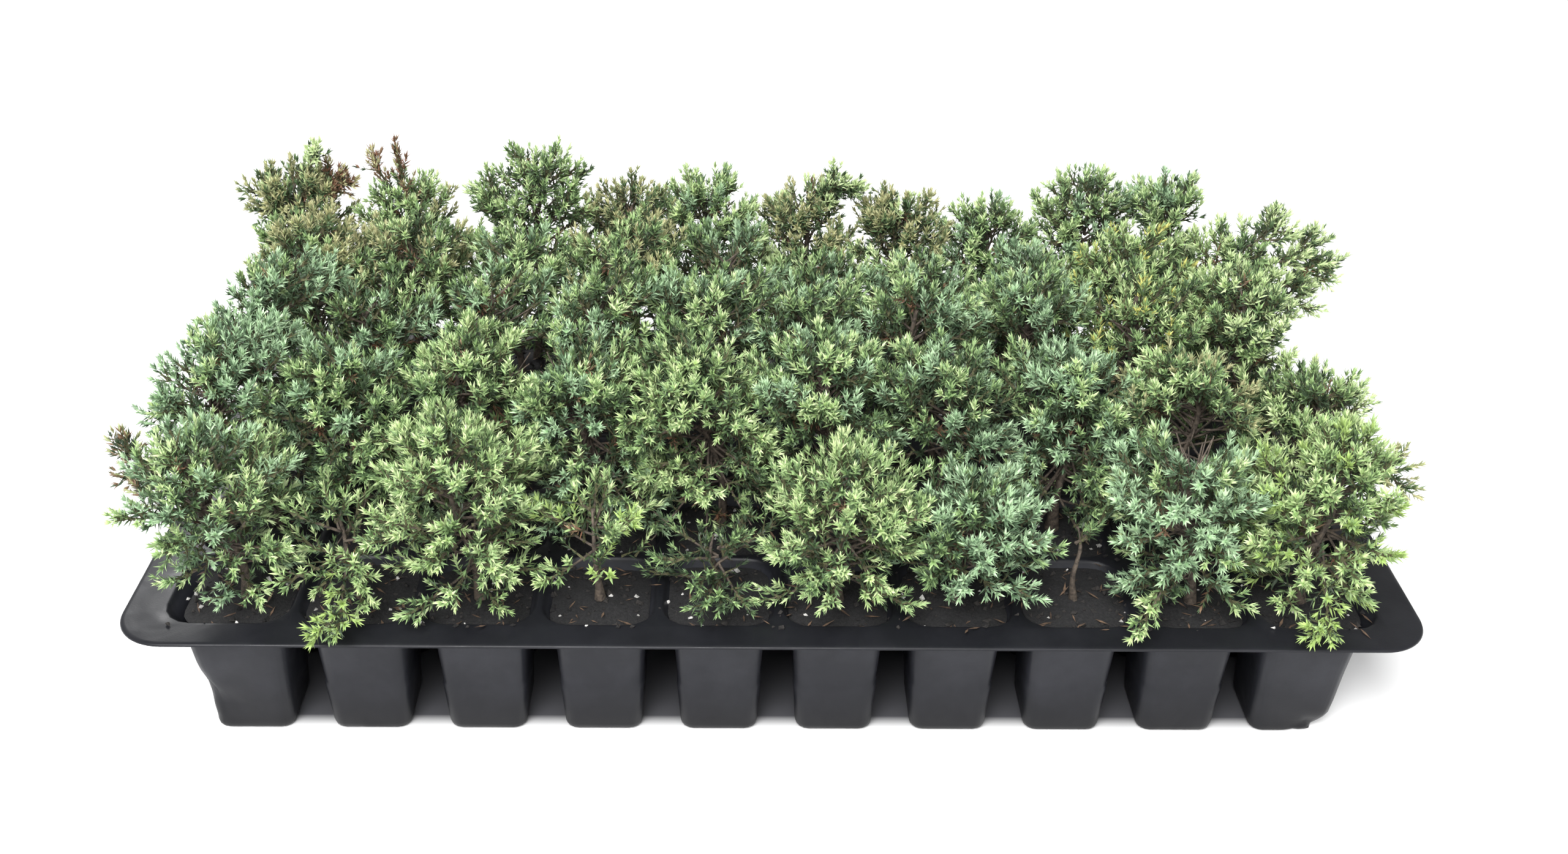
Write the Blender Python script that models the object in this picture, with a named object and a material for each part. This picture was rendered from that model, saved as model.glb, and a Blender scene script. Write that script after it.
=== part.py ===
"""A nursery tray of Japanese garden junipers: a black plug tray of ten by five cells, the potting mix in it
and fifty small plants whose crowns have grown together into one mat.

Metres, +Z up, +Y towards the back. The origin is the middle of the tray's underside, at floor level."""

import math
import random

import bmesh
import bpy
from mathutils import Vector

MM = 0.001
CLEARANCE = 0.3 * MM

# Tray: one thin formed sheet, a flat deck with tapered cells hanging under it
COLUMNS = 10
ROWS = 5
PITCH = 50 * MM
TRAY_LENGTH = 540 * MM
TRAY_WIDTH = 276 * MM
TRAY_HEIGHT = 63.5 * MM
SHEET = 0.8 * MM
RIM_CORNER = 20 * MM
RIM_CORNER_STEPS = 5

# Inside of a cell as (height, half width, corner cut)
CELL_FOOT = (SHEET, 15.6 * MM, 3.6 * MM)
CELL_SHOULDER = (TRAY_HEIGHT - 10 * MM, 18.3 * MM, 5.0 * MM)
CELL_MOUTH = (TRAY_HEIGHT, 23.0 * MM, 9.5 * MM)

# How far the outer wall of each end cell flares out between the floor and the deck
END_FLARE = 4 * MM

# Finger notch in each end of the rim, measured from the tray's front edge
NOTCH_START = 61 * MM
NOTCH_POINT = 67 * MM
NOTCH_END = 68 * MM
NOTCH_DEPTH = 3.7 * MM

# Potting mix: a plug in each cell, a little heaped, and a thin layer spilled over the webs between the cells
PLUG_FOOT = (SHEET + CLEARANCE, 15.3 * MM, 3.5 * MM)
PLUG_BRIM = (TRAY_HEIGHT - 2.5 * MM, 18.3 * MM, 5.2 * MM)
PLUG_HEAP = (TRAY_HEIGHT + 0.6 * MM, 7.0 * MM, 2.0 * MM)
SPILL_UNDERSIDE = TRAY_HEIGHT + CLEARANCE
SPILL_BEYOND_CENTRES = 10 * MM
MIX_TOP = TRAY_HEIGHT + 1.0 * MM

# Crown heights above the mix in millimetres, left to right, for the rows whose outline shows
FRONT_TOPS = (88, 58, 98, 64, 44, 80, 66, 52, 90, 92)
SECOND_TOPS = (104, 98, 104, 98, 104, 102, 96, 98, 96, 84)
FOURTH_TOPS = (106, 104, 98, 106, 100, 84, 92, 92, 104, 104)
BACK_TOPS = (107, 100, 120, 100, 106, 99, 95, 90, 109, 106)
MIDDLE_TOP = 104 * MM
MIDDLE_TOP_VARIATION = 6 * MM
TALLEST = 120 * MM

# A crown is domed: the share of its height lost at half a pitch from its leader
DOME = 0.18

# Room that the crowns share: they fan out above the deck and lean over the rim, in rows evenly spaced
# but for the front and back ones
FAN_Y = 0.13
BORDER_JITTER = 5 * MM
SPREAD_RISE = 0.5
END_LOW, END_HIGH = 134 * MM, 150 * MM
ROOM_MARGIN = 0.6 * MM

# How far out the plants at the two sides reach, row by row: halfway up, where they are widest, and at the top
SIDE_LOW = 244 * MM
LEFT_REACH = ((262, 240), (270, 236), (266, 226), (252, 244), (268, 266))
RIGHT_REACH = ((256, 236), (262, 204), (238, 226), (252, 250), (222, 222))

# Borders between the plants of the front and back rows where they are widest, in millimetres from the middle
FRONT_BORDERS = (-200, -158, -100, -50, -2, 56, 102, 134, 192)
BACK_BORDERS = (-222, -150, -92, -56, -14, 46, 84, 137, 186)

# Gap under the arched plant of the back row: (left, right) and (low, high) above the mix
GAP_PLANT = (4, 5)
GAP_ACROSS = (35 * MM, 46 * MM)
GAP_RISE = (58 * MM, 85 * MM)

# Leader: the stem and the upright shoot that it ends in, as (share of the crown's height, radius)
LEADER_SIDES = 4
LEADER_JOINT = 0.16
LEADER = ((0.0, 2.6 * MM), (LEADER_JOINT, 1.7 * MM), (0.5, 15.0 * MM), (0.96, 2.5 * MM))
STEM_SIDES = 5

# Sprays of needles round the leader, the lowest level and the highest nearly upright, in degrees from the top
SPRAYS = 8
SPRAY_LOWEST, SPRAY_HIGHEST = 0.32, 0.72
SPRAY_LEVEL, SPRAY_UPRIGHT = 90, 34
SPRAY_SIDES = 3
SPRAY_RADIUS = 12.5 * MM
SPRAY_WIDEST = 0.68
SPRAY_SHORTEST, SPRAY_LONGEST = 16 * MM, 60 * MM
SPRAY_SUNK = 2.0 * MM
GOLDEN_ANGLE = math.radians(137.508)

# Sprays that droop over the rim on the plants at the tray's edges
SKIRT_SPRAYS = 2
SKIRT_RISE = 0.42
SKIRT_LEVEL, SKIRT_LOW = 84, 112
SKIRT_SPREAD = math.radians(60)

# Sprigs that reach beyond their crown: plant, share of the leader they leave at, and tip in millimetres with
# its height above the mix
SPRIGS = (
    ((0, 0), 0.45, (-281, -73, 57)),
    ((0, 0), 0.40, (-268, -95, 48)),
    ((0, 1), 0.42, (-175, -147, 5)),
    ((0, 8), 0.36, (138, -148, 6)),
    ((0, 9), 0.36, (220, -148, 5)),
    ((1, 9), 0.40, (282, -64, 37)),
    ((3, 9), 0.50, (272, 60, 66)),
    ((3, 9), 0.62, (282, 60, 81)),
    ((3, 9), 0.74, (273, 62, 91)),
    ((3, 9), 0.85, (252, 70, 101)),
    ((4, 0), 0.70, (-228, 117, 116)),
    ((4, 1), 0.75, (-192, 117, 118)),
    ((4, 1), 0.75, (-207, 117, 108)),
    ((4, 5), 0.88, (48, 117, 93)),
)
SPRIG_RADIUS = 6.5 * MM

# Small plants of a few sprays, round which the mix shows
SPARSE_PLANTS = ((0, 1), (0, 3), (0, 4), (0, 7))
SPARSE_SPRAYS = 5
SPARSE_LEADER = 0.55

# Front plants whose bare stem shows between the crown and the mix
STEMMED_COLUMNS = (0, 1, 2, 3, 5, 6, 8, 9)


def clear_scene():
    for obj in list(bpy.data.objects):
        bpy.data.objects.remove(obj)


def material(name, colour, roughness, metallic=0.0):
    made = bpy.data.materials.new(name)
    made.use_nodes = True
    shader = made.node_tree.nodes["Principled BSDF"]
    shader.inputs["Base Color"].default_value = (*colour, 1.0)
    shader.inputs["Roughness"].default_value = roughness
    shader.inputs["Metallic"].default_value = metallic
    return made


def object_from(bm, name, finish=None, collection=None):
    """An object from closed shapes in a bmesh, with its faces turned out. Without a finish it is a helper."""
    mesh = bpy.data.meshes.new(name)
    bmesh.ops.recalc_face_normals(bm, faces=bm.faces)
    bm.to_mesh(mesh)
    bm.free()
    obj = bpy.data.objects.new(name, mesh)
    (collection or bpy.context.scene.collection).objects.link(obj)
    if finish:
        mesh.materials.append(finish)
    else:
        obj.hide_render = True
        obj.display_type = "WIRE"
    return obj


def boolean(obj, other, operation):
    modifier = obj.modifiers.new(operation.title(), "BOOLEAN")
    modifier.object = other
    modifier.operation = operation
    modifier.solver = "EXACT"


def loft(bm, loops):
    """A closed solid through loops of equal length, each a list of points, from bottom to top."""
    rings = [[bm.verts.new(point) for point in loop] for loop in loops]
    count = len(rings[0])
    for low, high in zip(rings, rings[1:]):
        for i in range(count):
            j = (i + 1) % count
            bm.faces.new((low[i], low[j], high[j], high[i]))
    bm.faces.new(reversed(rings[0]))
    bm.faces.new(rings[-1])


def cell_centre(row, column):
    x = (column - (COLUMNS - 1) / 2) * PITCH
    y = (row - (ROWS - 1) / 2) * PITCH
    return Vector((x, y, 0))


def all_cells():
    return [(row, column) for row in range(ROWS) for column in range(COLUMNS)]


def cell_outline(row, column, level, grow=0.0):
    """A square with its corners cut, counterclockwise, at a level of (height, half width, cut)."""
    height, half, cut = level
    half += grow
    flat = half - cut
    quarter = ((half, -flat), (half, flat), (flat, half), (-flat, half))
    outline = quarter + tuple((-x, -y) for x, y in quarter)
    centre = cell_centre(row, column)
    outer = (column == COLUMNS - 1) - (column == 0)
    flare = outer * END_FLARE * height / TRAY_HEIGHT
    shifted = [(x + flare, y) if x * outer > 0 else (x, y) for x, y in outline]
    return [Vector((centre.x + x, centre.y + y, height)) for x, y in shifted]


def at_height(level, height):
    return (height, *level[1:])


def cell_solids(name, levels, grow=0.0):
    """The same solid in every cell, through its levels."""
    bm = bmesh.new()
    for row, column in all_cells():
        loft(bm, [cell_outline(row, column, level, grow) for level in levels])
    return object_from(bm, name)


def rim_outline(z):
    """The deck's outer edge, counterclockwise from the front left corner, with a notch in each end."""
    half_length, half_width = TRAY_LENGTH / 2, TRAY_WIDTH / 2
    points = []
    for turn, (side_x, side_y) in enumerate(((-1, -1), (1, -1), (1, 1), (-1, 1))):
        centre = Vector((side_x * (half_length - RIM_CORNER), side_y * (half_width - RIM_CORNER), z))
        for step in range(RIM_CORNER_STEPS + 1):
            angle = math.pi + (turn + step / RIM_CORNER_STEPS) * math.pi / 2
            points.append(centre + RIM_CORNER * Vector((math.cos(angle), math.sin(angle), 0)))
    notch = ((0, NOTCH_START), (NOTCH_DEPTH, NOTCH_POINT), (0, NOTCH_END))
    right = [Vector((half_length - depth, along - half_width, z)) for depth, along in notch]
    left = [Vector((depth - half_length, along - half_width, z)) for depth, along in reversed(notch)]
    right_front_end = 2 * (RIM_CORNER_STEPS + 1)
    return points[:right_front_end] + right + points[right_front_end:] + left


def build_tray(finish):
    bm = bmesh.new()
    loft(bm, [rim_outline(TRAY_HEIGHT - SHEET), rim_outline(TRAY_HEIGHT)])
    tray = object_from(bm, "plug_tray", finish)
    inside_deck = at_height(CELL_MOUTH, TRAY_HEIGHT - SHEET / 2)
    walls = cell_solids("cell_walls", (at_height(CELL_FOOT, 0), CELL_SHOULDER, inside_deck), grow=SHEET)
    above_deck = at_height(CELL_MOUTH, TRAY_HEIGHT + SHEET)
    cavities = cell_solids("cell_cavities", (CELL_FOOT, CELL_SHOULDER, CELL_MOUTH, above_deck))
    boolean(tray, walls, "UNION")
    boolean(tray, cavities, "DIFFERENCE")


def build_mix(finish):
    half_length = (COLUMNS - 1) / 2 * PITCH + SPILL_BEYOND_CENTRES
    half_width = (ROWS - 1) / 2 * PITCH + SPILL_BEYOND_CENTRES
    corners = ((-1, -1), (1, -1), (1, 1), (-1, 1))
    bm = bmesh.new()
    loft(bm, [[Vector((x * half_length, y * half_width, z)) for x, y in corners]
              for z in (SPILL_UNDERSIDE, MIX_TOP)])
    mix = object_from(bm, "potting_mix", finish)
    boolean(mix, cell_solids("root_plugs", (PLUG_FOOT, PLUG_BRIM, PLUG_HEAP)), "UNION")


def eased(value):
    value = min(max(value, 0.0), 1.0)
    return value * value * (3 - 2 * value)


def rise_at(z):
    """How far up the crowns a level is, from 0 at the mix to 1 at the tallest top."""
    return min(max((z - MIX_TOP) / TALLEST, 0.0), 1.0)


def crown_height(row, column):
    shown = {0: FRONT_TOPS, 1: SECOND_TOPS, ROWS - 2: FOURTH_TOPS, ROWS - 1: BACK_TOPS}
    if row in shown:
        return shown[row][column] * MM
    variation = random.Random(700 + row * COLUMNS + column).uniform(-1, 1)
    return MIDDLE_TOP + variation * MIDDLE_TOP_VARIATION


def side_reach(reach, z):
    """How far from the middle a plant at one of the two sides reaches at level z."""
    widest, top = reach
    rise = rise_at(z)
    out = SIDE_LOW + (widest * MM - SIDE_LOW) * eased(rise / SPREAD_RISE)
    return out + (top - widest) * MM * eased((rise - SPREAD_RISE) / (1 - SPREAD_RISE))


def border_x(row, index, z):
    """X of the border to the left of column index, at level z."""
    if index == 0:
        return -side_reach(LEFT_REACH[row], z)
    if index == COLUMNS:
        return side_reach(RIGHT_REACH[row], z)
    at_deck = (index - COLUMNS / 2) * PITCH
    named = {0: FRONT_BORDERS, ROWS - 1: BACK_BORDERS}
    if row in named:
        spread_out = named[row][index - 1] * MM
    else:
        left, right = -side_reach(LEFT_REACH[row], z), side_reach(RIGHT_REACH[row], z)
        jitter = random.Random(300 + row * COLUMNS + index).uniform(-1, 1) * BORDER_JITTER
        spread_out = left + (right - left) * index / COLUMNS + jitter
    return at_deck + (spread_out - at_deck) * eased(rise_at(z) / SPREAD_RISE)


def border_y(index, z):
    """Y of the border in front of row index, at level z."""
    if index in (0, ROWS):
        reach = END_LOW + (END_HIGH - END_LOW) * eased(rise_at(z) / SPREAD_RISE)
        return -reach if index == 0 else reach
    return (index - ROWS / 2) * PITCH * (1 + FAN_Y * rise_at(z))


def room_middle(row, column, z):
    x = (border_x(row, column, z) + border_x(row, column + 1, z)) / 2
    y = (border_y(row, z) + border_y(row + 1, z)) / 2
    return Vector((x, y, z))


def leader_point(row, column, share):
    """A point of the leader at a share of the crown's height: it runs up the middle of the plant's room."""
    return room_middle(row, column, MIX_TOP + CLEARANCE + share * (crown_height(row, column) - CLEARANCE))


def dome_top(row, column, point):
    """Level of the crown's domed top above or below a point."""
    away = (point - room_middle(row, column, point.z)).length / (PITCH / 2)
    return MIX_TOP + crown_height(row, column) * (1 - DOME * away * away)


def in_gap(row, column, point):
    """True where a point would close the gap under the arched plant."""
    across = GAP_ACROSS[0] < point.x < GAP_ACROSS[1]
    return (row, column) == GAP_PLANT and across and GAP_RISE[0] < point.z - MIX_TOP < GAP_RISE[1]


def fits(row, column, point):
    """True where a point is in the plant's own room, above the mix and under the plant's dome."""
    x, y, z = point
    in_x = border_x(row, column, z) + ROOM_MARGIN <= x <= border_x(row, column + 1, z) - ROOM_MARGIN
    in_y = border_y(row, z) + ROOM_MARGIN <= y <= border_y(row + 1, z) - ROOM_MARGIN
    in_z = MIX_TOP + CLEARANCE <= z <= dome_top(row, column, point)
    return in_x and in_y and in_z and not in_gap(row, column, point)


def direction(polar, around):
    """A unit vector from its angle from the vertical and its bearing."""
    return Vector((math.sin(polar) * math.cos(around), math.sin(polar) * math.sin(around), math.cos(polar)))


def spray_starts(row, column):
    """Where each spray of a plant leaves the leader and the way it points."""
    draw = random.Random(900 + row * COLUMNS + column)
    phase = draw.uniform(0, 2 * math.pi)
    count = SPARSE_SPRAYS if (row, column) in SPARSE_PLANTS else SPRAYS
    for i in range(count):
        climb = i / (count - 1)
        share = SPRAY_LOWEST + (SPRAY_HIGHEST - SPRAY_LOWEST) * climb
        polar = math.radians(SPRAY_LEVEL + (SPRAY_UPRIGHT - SPRAY_LEVEL) * climb + draw.uniform(-8, 8))
        yield leader_point(row, column, share), direction(polar, phase + i * GOLDEN_ANGLE)
    outward_x = (column == COLUMNS - 1) - (column == 0)
    outward_y = (row == ROWS - 1) - (row == 0)
    if outward_x or outward_y:
        outward = math.atan2(outward_y, outward_x)
        for i in range(SKIRT_SPRAYS):
            around = outward + (i - (SKIRT_SPRAYS - 1) / 2) * SKIRT_SPREAD + draw.uniform(-0.15, 0.15)
            polar = math.radians(draw.uniform(SKIRT_LEVEL, SKIRT_LOW))
            yield leader_point(row, column, SKIRT_RISE), direction(polar, around)


def spray_corners(start, way, length, radius):
    """Root, widest ring and tip of a spray, its root sunk past the leader's middle."""
    across = way.orthogonal().normalized()
    other = way.cross(across)
    middle = start + way * length * SPRAY_WIDEST
    angles = [2 * math.pi * i / SPRAY_SIDES for i in range(SPRAY_SIDES)]
    ring = [middle + radius * (math.cos(a) * across + math.sin(a) * other) for a in angles]
    return start - way * SPRAY_SUNK, ring, start + way * length


def longest_fit(row, column, start, way, radius):
    """Length of the longest spray that stays in the plant's room, or zero where that is too short."""
    length = SPRAY_LONGEST
    while length > SPRAY_SHORTEST:
        _, ring, tip = spray_corners(start, way, length, radius)
        halfway = [(corner + tip) / 2 for corner in ring]
        between = [(near + far) / 2 for near, far in zip(ring, ring[1:] + ring[:1])]
        if all(fits(row, column, point) for point in (tip, *ring, *halfway, *between)):
            return length
        length -= 1 * MM
    return 0


def spray(bm, start, way, length, radius):
    """A three-sided spray of needles, pointed at both ends."""
    root, ring, tip = spray_corners(start, way, length, radius)
    root, tip = bm.verts.new(root), bm.verts.new(tip)
    ring = [bm.verts.new(corner) for corner in ring]
    for near, far in zip(ring, ring[1:] + ring[:1]):
        bm.faces.new((root, far, near))
        bm.faces.new((tip, near, far))


def tube(bm, points, radii, sides):
    """A limb through the points, with flat level ends."""
    angles = [2 * math.pi * i / sides for i in range(sides)]
    loft(bm, [[point + radius * Vector((math.cos(a), math.sin(a), 0)) for a in angles]
              for point, radius in zip(points, radii)])


def build_stem(row, column, finish):
    """The bare foot of a front plant, flared where it meets the mix."""
    shares = (0, LEADER_JOINT * 0.35, LEADER_JOINT)
    foot, tip = LEADER[0][1], LEADER[1][1]
    radii = (foot * 1.3, foot * 0.9, tip)
    bm = bmesh.new()
    tube(bm, [leader_point(row, column, share) for share in shares], radii, STEM_SIDES)
    object_from(bm, f"stem_{row + 1}_{column + 1:02d}", finish)


def crown_sprays(row, column):
    """Start, direction, length and radius of every spray of a plant, its far-reaching sprigs last."""
    for start, way in spray_starts(row, column):
        length = longest_fit(row, column, start, way, SPRAY_RADIUS)
        if length:
            yield start, way, length, SPRAY_RADIUS
    for plant, share, (x, y, rise) in SPRIGS:
        if plant == (row, column):
            start = leader_point(row, column, share)
            way = Vector((x * MM, y * MM, MIX_TOP + rise * MM)) - start
            yield start, way.normalized(), way.length, SPRIG_RADIUS


def build_crown(row, column, finish):
    """One plant above the mix as a single solid: its leader and its sprays, joined by one union."""
    levels = LEADER
    lift = Vector((0, 0, 0))
    if row == 0 and column in STEMMED_COLUMNS:
        levels = LEADER[1:]
        lift = Vector((0, 0, CLEARANCE))
    slim = SPARSE_LEADER if (row, column) in SPARSE_PLANTS else 1
    bm = bmesh.new()
    tube(bm, [leader_point(row, column, share) + lift for share, _ in levels],
         [radius * slim if share > LEADER_JOINT else radius for share, radius in levels], LEADER_SIDES)
    crown = object_from(bm, f"juniper_{row + 1}_{column + 1:02d}", finish)
    sprays = bpy.data.collections.new("sprays")
    for place in crown_sprays(row, column):
        bm = bmesh.new()
        spray(bm, *place)
        object_from(bm, "spray", collection=sprays)
    join(crown, sprays)


def join(crown, sprays):
    """Applies one union of a collection's objects to the crown, and removes them."""
    bpy.context.scene.collection.children.link(sprays)
    modifier = crown.modifiers.new("Union", "BOOLEAN")
    modifier.operation = "UNION"
    modifier.operand_type = "COLLECTION"
    modifier.collection = sprays
    modifier.solver = "MANIFOLD"
    graph = bpy.context.evaluated_depsgraph_get()
    joined = bpy.data.meshes.new_from_object(crown.evaluated_get(graph))
    crown.modifiers.clear()
    crown.data = joined
    for piece in list(sprays.objects):
        bpy.data.objects.remove(piece)
    bpy.data.collections.remove(sprays)


def main():
    clear_scene()
    plastic = material("black_plastic", (0.035, 0.036, 0.04), 0.45)
    mix = material("potting_mix", (0.035, 0.025, 0.02), 0.95)
    bark = material("bark", (0.16, 0.10, 0.07), 0.85)
    needles = material("juniper_needles", (0.14, 0.26, 0.11), 0.6)
    build_tray(plastic)
    build_mix(mix)
    for column in STEMMED_COLUMNS:
        build_stem(0, column, bark)
    for row, column in all_cells():
        build_crown(row, column, needles)


main()
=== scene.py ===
"""The looks of a nursery tray of Japanese garden junipers: the moulded black tray, the potting mix with its
perlite and litter, the bark of the stems and twigs, and the needled shoots that grow on them.

Metres, +Z up, +Y towards the back, origin under the middle of the tray."""

import math
import random
from collections import namedtuple

import bmesh
import bpy
import numpy as np
from mathutils import Matrix, Vector, noise


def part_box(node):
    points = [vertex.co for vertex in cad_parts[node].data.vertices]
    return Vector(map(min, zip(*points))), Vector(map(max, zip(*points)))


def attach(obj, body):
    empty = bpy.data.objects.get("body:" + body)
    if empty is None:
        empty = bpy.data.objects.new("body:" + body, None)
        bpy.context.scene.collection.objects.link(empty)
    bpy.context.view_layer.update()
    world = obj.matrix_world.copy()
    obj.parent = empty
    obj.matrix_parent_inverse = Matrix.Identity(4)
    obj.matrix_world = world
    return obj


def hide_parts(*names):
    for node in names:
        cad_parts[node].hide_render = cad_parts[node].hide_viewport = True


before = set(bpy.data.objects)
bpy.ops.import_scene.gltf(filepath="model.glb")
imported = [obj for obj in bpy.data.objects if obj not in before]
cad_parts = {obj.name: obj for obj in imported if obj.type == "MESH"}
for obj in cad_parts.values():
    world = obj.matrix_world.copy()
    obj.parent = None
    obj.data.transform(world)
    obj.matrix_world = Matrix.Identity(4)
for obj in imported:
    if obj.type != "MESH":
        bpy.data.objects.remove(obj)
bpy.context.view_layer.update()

MM = 0.001
UP = np.array((0.0, 0.0, 1.0))

# The photo's camera, found from the tray's rim and cells
CAMERA_PLACE = (-0.0170, -0.6374, 0.4697)
CAMERA_LENS = 36.25
CAMERA_PITCH = math.radians(31.14)
CAMERA_YAW = math.radians(-1.88)
CAMERA_ROLL = math.radians(1.48)

# Studio: each light's name, place, size and power, and half sizes of the floor and of the shadow painted on
# it under the tray
LIGHTS = (
    ("key", (-0.4, -1.15, 1.5), 1.1, 60),
    ("fill", (0.5, -1.4, 1.0), 1.2, 9),
    ("back", (-1.0, 2.0, 1.35), 0.8, 24),
)
LIGHT_AIM = (0, 0, 0.1)
WORLD_LIGHT = 0.55
FLOOR_HALF = 3.0
PAINTED_SHADOW_SIZE = (232 * MM, 112 * MM)
PAINTED_SHADOW_COLOUR = (0.05, 0.05, 0.056)

# Tray
COLUMNS = 10
ROWS = 5
PITCH = 50 * MM
TRAY_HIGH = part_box("plug_tray")[1]
HALF_LENGTH = TRAY_HIGH.x
HALF_WIDTH = TRAY_HIGH.y
DECK = TRAY_HIGH.z
SHEET = 0.8 * MM
END_FLARE = 4 * MM
RIM_CORNER = 22 * MM
RIM_CORNER_STEPS, RIM_LONG_STEPS = 14, 40

# Notch in each end of the rim, as (depth, distance from the front)
NOTCH = ((0, 61 * MM), (3.9 * MM, 67 * MM), (0, 68.2 * MM))

# Rounded edge of the rim, as (inset, drop) in millimetres
RIM_PROFILE = ((2.2, 0.0), (1.0, 0.12), (0.35, 0.45), (0.0, 1.1))

# Crushed front end cells, by side: height of the dent's middle, its reach up and down, and its depth
CRUSHED = {-1: (22 * MM, 19 * MM, 2.2 * MM), 1: (5 * MM, 10 * MM, 3.0 * MM)}
CREASE_TOP = DECK - 12 * MM
CREASE_CUTS = 2

# Inside of a cell's sheet, from the deck down, as (depth, half width, corner radius) in millimetres
CELL_PROFILE = (
    (0.0, 24.1, 12.6), (0.3, 23.5, 12.1), (1.3, 22.8, 11.4), (3.0, 21.9, 10.2),
    (5.0, 20.8, 8.8), (7.5, 19.6, 7.4), (10.0, 18.75, 6.4), (13.0, 18.3, 5.9), (22.0, 17.8, 5.6),
    (31.0, 17.3, 5.4), (38.2, 16.8, 5.2), (39.2, 17.3, 5.3), (47.0, 16.8, 5.1), (55.0, 16.3, 4.9),
    (60.0, 16.0, 4.8), (61.6, 15.7, 4.7), (62.3, 15.2, 4.5), (62.68, 14.3, 4.2), (62.7, 13.2, 3.8),
)

# Depths in the profile that crushed cells leave out, and those that only they have
LEDGE = (38.2, 39.2)
CRUSHED_ONLY = (22.0, 31.0, 47.0, 55.0)

# Points on each round corner and each straight side of a cell's outline
CORNER_POINTS, SIDE_POINTS = 5, 2

# Potting mix
MIX_INSET = 0.35 * MM
MIX_HEAP = 3.2 * MM
MIX_ROUGH = 1.1 * MM
MIX_RINGS = 11
LITTER = 1500

# Loose lumps on the mix: count, smallest and largest radius in millimetres, share on the deck, and seed
CRUMBS = (3600, (0.5, 1.7), 0.6, 11)
PERLITE = (520, (0.5, 1.5), 0.7, 12)

# Dark and light display colours, with the roughness of what lies on the mix
LOOSE = {
    "crumbs": ((18, 17, 18), (50, 47, 45), 0.95),
    "perlite": ((150, 148, 144), (222, 220, 216), 0.8),
    "dead_needles": ((66, 52, 42), (112, 90, 72), 0.8),
}
# Colours of the plastic, of its dust, and of the painted shade low in the cells and on the deck
PLASTIC, PLASTIC_DUSTY, PLASTIC_PAINTED_SHADE = (40, 41, 46), (54, 55, 61), (12, 12, 15)
MIX_DARK, MIX_LIGHT = (14, 14, 16), (42, 41, 42)
BARKS = {"bark": ((44, 38, 34), (108, 96, 84)), "twig_bark": ((58, 56, 38), (96, 96, 64))}

# Triangles of small forms
BLADE = np.array(((0, 1, 2), (0, 2, 3)))
SPIKE = np.array(((0, 1, 3), (1, 2, 3), (2, 0, 3)))
OCTAHEDRON = np.array(
    ((0, 2, 4), (2, 1, 4), (1, 3, 4), (3, 0, 4), (2, 0, 5), (1, 2, 5), (3, 1, 5), (0, 3, 5))
)

# Crowns, as in the solids. Tops, borders and reaches are in millimetres, by row
MIX_TOP = DECK + 1.0 * MM
CLEARANCE = 0.3 * MM
TOPS = {
    0: (88, 58, 98, 64, 44, 80, 66, 52, 90, 92),
    1: (104, 98, 104, 98, 104, 102, 96, 98, 96, 84),
    3: (106, 104, 98, 106, 100, 84, 92, 92, 104, 104),
    4: (107, 100, 120, 100, 106, 99, 95, 90, 109, 106),
}
MIDDLE_TOP = 104 * MM
MIDDLE_TOP_VARIATION = 6 * MM
TALLEST = 120 * MM
FAN_Y = 0.13
BORDER_JITTER = 5 * MM
SPREAD_RISE = 0.5
END_REACH = (134 * MM, 150 * MM)
SIDE_LOW = 244 * MM
LEFT_REACH = ((262, 240), (270, 236), (266, 226), (252, 244), (268, 266))
RIGHT_REACH = ((256, 236), (262, 204), (238, 226), (252, 250), (222, 222))
BORDERS = {
    0: (-200, -158, -100, -50, -2, 56, 102, 134, 192),
    4: (-222, -150, -92, -56, -14, 46, 84, 137, 186),
}
GAP_PLANT = (4, 5)
GAP_ACROSS = (35 * MM, 46 * MM)
GAP_RISE = (58 * MM, 85 * MM)
SPRAYS = 8
SPRAY_SHARES, SPRAY_POLAR = (0.32, 0.72), (90, 34)
SKIRT_SPRAYS = 2
SKIRT_RISE = 0.42
SKIRT_POLAR = (84, 112)
SKIRT_SPREAD = math.radians(60)
GOLDEN_ANGLE = math.radians(137.508)
SPARSE_PLANTS = ((0, 1), (0, 3), (0, 4), (0, 7))
SPARSE_SPRAYS = 5

# Sprigs beyond the crowns, with palette and count of side boughs. The last nine only round off edges
SPRIGS = (
    ((0, 0), 0.45, (-281, -73, 57), "bronze", 4),
    ((0, 0), 0.40, (-268, -95, 48), "bronze", 1),
    ((0, 1), 0.42, (-175, -147, 5), "lime", 1),
    ((0, 8), 0.36, (138, -148, 6), "fresh", 0),
    ((0, 9), 0.36, (220, -148, 5), "lime", 1),
    ((1, 9), 0.40, (282, -64, 37), "olive", 4),
    ((3, 9), 0.50, (272, 60, 66), "pale", 5),
    ((3, 9), 0.62, (282, 60, 81), "pale", 5),
    ((3, 9), 0.74, (273, 62, 91), "pale", 5),
    ((3, 9), 0.85, (252, 70, 101), "pale", 5),
    ((4, 0), 0.70, (-228, 117, 116), "pale", 1),
    ((4, 1), 0.75, (-192, 117, 118), "brown", 0),
    ((4, 1), 0.75, (-207, 117, 108), "brown", 1),
    ((4, 5), 0.88, (48, 117, 93), "pale", 1),
    ((4, 0), 0.62, (-264, 117, 98), "olive", 3),
    ((4, 0), 0.58, (-262, 117, 86), "olive", 3),
    ((4, 0), 0.66, (-214, 117, 101), "brown", 4),
    ((4, 2), 0.62, (-157, 117, 92), "green", 4),
    ((4, 5), 0.84, (40, 117, 100), "pale", 4),
    ((4, 5), 0.74, (32, 117, 90), "pale", 3),
    ((4, 6), 0.66, (50, 117, 88), "olive", 4),
    ((2, 9), 0.42, (277, -20, 42), "pale", 4),
    ((1, 0), 0.50, (-268, -60, 62), "blue", 4),
)

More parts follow.
